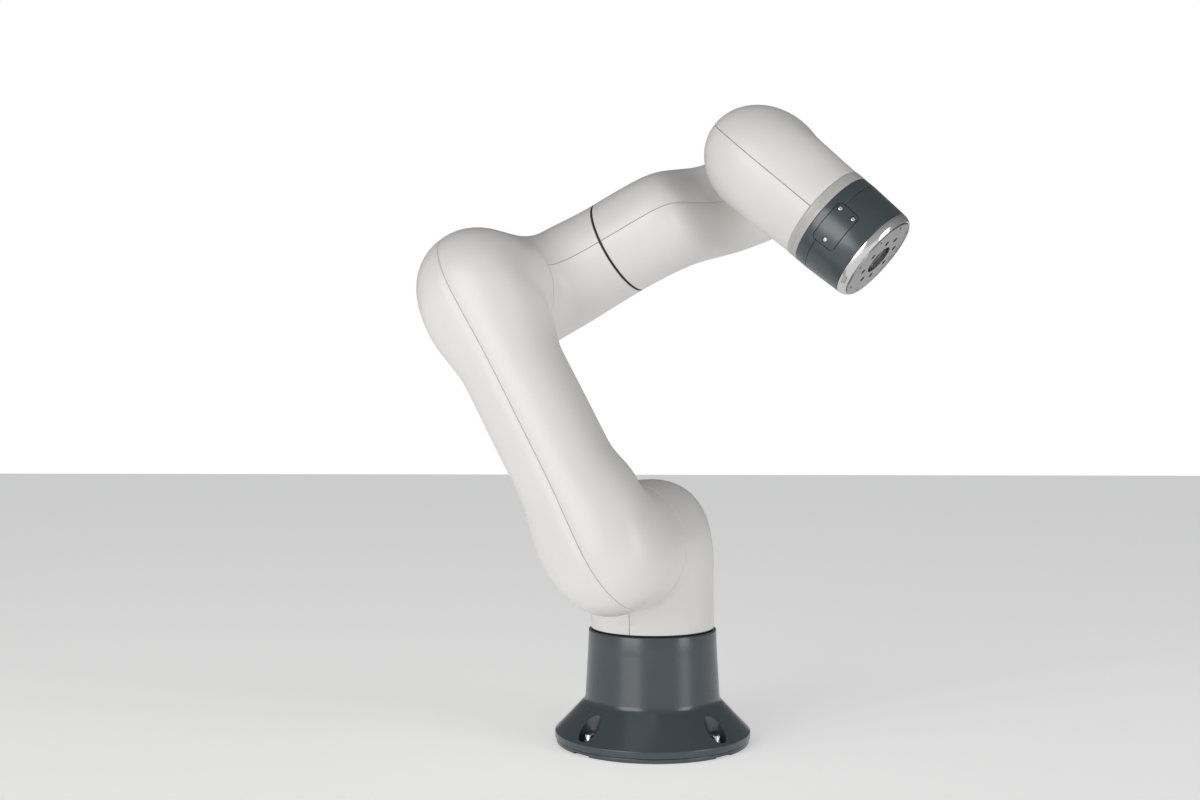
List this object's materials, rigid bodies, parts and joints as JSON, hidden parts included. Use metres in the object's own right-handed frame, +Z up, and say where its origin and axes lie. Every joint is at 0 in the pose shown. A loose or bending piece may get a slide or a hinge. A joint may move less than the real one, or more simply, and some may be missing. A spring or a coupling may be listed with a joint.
{
  "type": "collaborative robot arm",
  "caption": "Six-axis collaborative robot arm with rounded white half-shell housings, a dark flared base, a status light ring and a round tool flange.",
  "frame": {"origin": "centre of the base's underside, on axis 1", "axes": "+Z up along axis 1; -Y is the front of the base, midway between its two front bolts; +Y is the connector side"},
  "size_m": [0.5019, 0.2821, 0.6659],
  "materials": {
    "shell": "satin warm light grey paint",
    "casting": "fine textured slate grey paint",
    "seal": "matt black",
    "light": "translucent light grey diffuser, unlit",
    "screw": "bright plated steel",
    "rim": "polished steel",
    "flange": "face turned, with fine concentric tool marks",
    "panel": "brushed",
    "plastic": "moulded black",
    "winding": "enamelled copper windings",
    "drive_steel": "ground steel",
    "board": "circuit board and brake disc"
  },
  "bodies": {
    "base": {"base_plate": "casting", "base_housing": "casting", "base_seal": "seal", "connector_panel": "panel", "power_connector": "plastic", "data_connector": "plastic", "network_connector": "plastic", "ground_stud": "screw", "base_bolt_1": "screw", "base_bolt_2": "screw", "base_bolt_3": "screw", "base_bolt_4": "screw", "base_bolt_5": "screw", "base_bolt_6": "screw", "axis1_stator": "winding", "axis1_rotor_shaft": "drive_steel", "axis1_brake": "board"},
    "column": {"column_shell_left": "shell", "column_shell_right": "shell", "axis1_gear_unit": "drive_steel", "axis2_stator": "winding", "axis2_rotor_shaft": "drive_steel", "axis2_brake": "board"},
    "link_arm": {"link_arm_shell_left": "shell", "link_arm_shell_right": "shell", "axis2_gear_unit": "drive_steel", "axis3_stator": "winding", "axis3_rotor_shaft": "drive_steel", "axis3_brake": "board"},
    "forearm": {"forearm_shell_left": "shell", "forearm_shell_right": "shell", "axis4_seal": "seal", "axis3_gear_unit": "drive_steel", "axis4_stator": "winding", "axis4_rotor_shaft": "drive_steel", "axis4_brake": "board"},
    "wrist": {"wrist_shell_left": "shell", "wrist_shell_right": "shell", "axis4_gear_unit": "drive_steel", "axis5_stator": "winding", "axis5_rotor_shaft": "drive_steel", "axis5_brake": "board"},
    "hand": {"hand_shell_left": "shell", "hand_shell_right": "shell", "light_ring": "light", "hand_collar": "casting", "hand_housing": "casting", "hand_cover": "casting", "cover_screw_1": "screw", "cover_screw_2": "screw", "cover_screw_3": "screw", "axis5_gear_unit": "drive_steel", "axis6_stator": "winding", "axis6_rotor_shaft": "drive_steel", "axis6_brake": "board"},
    "flange": {"tool_flange": "flange", "flange_rim": "rim", "axis6_gear_unit": "drive_steel"}
  },
  "joints": [
    {"name": "axis_1_turn", "type": "hinge", "parent": "base", "child": "column", "pos_m": [0, 0, 0.12], "axis": [0, 0, 1], "range_deg": [-185, 185]},
    {"name": "axis_2_shoulder", "type": "hinge", "parent": "column", "child": "link_arm", "pos_m": [0, 0, 0.213], "axis": [0.3576, 0.9339, 0], "range_deg": [-110.82, 169.18]},
    {"name": "axis_3_elbow", "type": "hinge", "parent": "link_arm", "child": "forearm", "pos_m": [-0.1366, 0.0523, 0.47493], "axis": [-0.3576, -0.9339, 0], "range_deg": [-47.17, 242.82]},
    {"name": "axis_4_forearm_roll", "type": "hinge", "parent": "forearm", "child": "wrist", "pos_m": [-0.03618, 0.01385, 0.5282], "axis": [0.8368, -0.3204, 0.4439], "range_deg": [-180, 180]},
    {"name": "axis_5_wrist", "type": "hinge", "parent": "wrist", "child": "hand", "pos_m": [0.11445, -0.04382, 0.60811], "axis": [-0.3576, -0.9339, 0], "range_deg": [-42.16, 177.84]},
    {"name": "axis_6_flange_turn", "type": "hinge", "parent": "hand", "child": "flange", "pos_m": [0.2264, -0.08668, 0.50213], "axis": [0.6997, -0.2679, -0.6624], "range_deg": [-220, 220]}
  ]
}
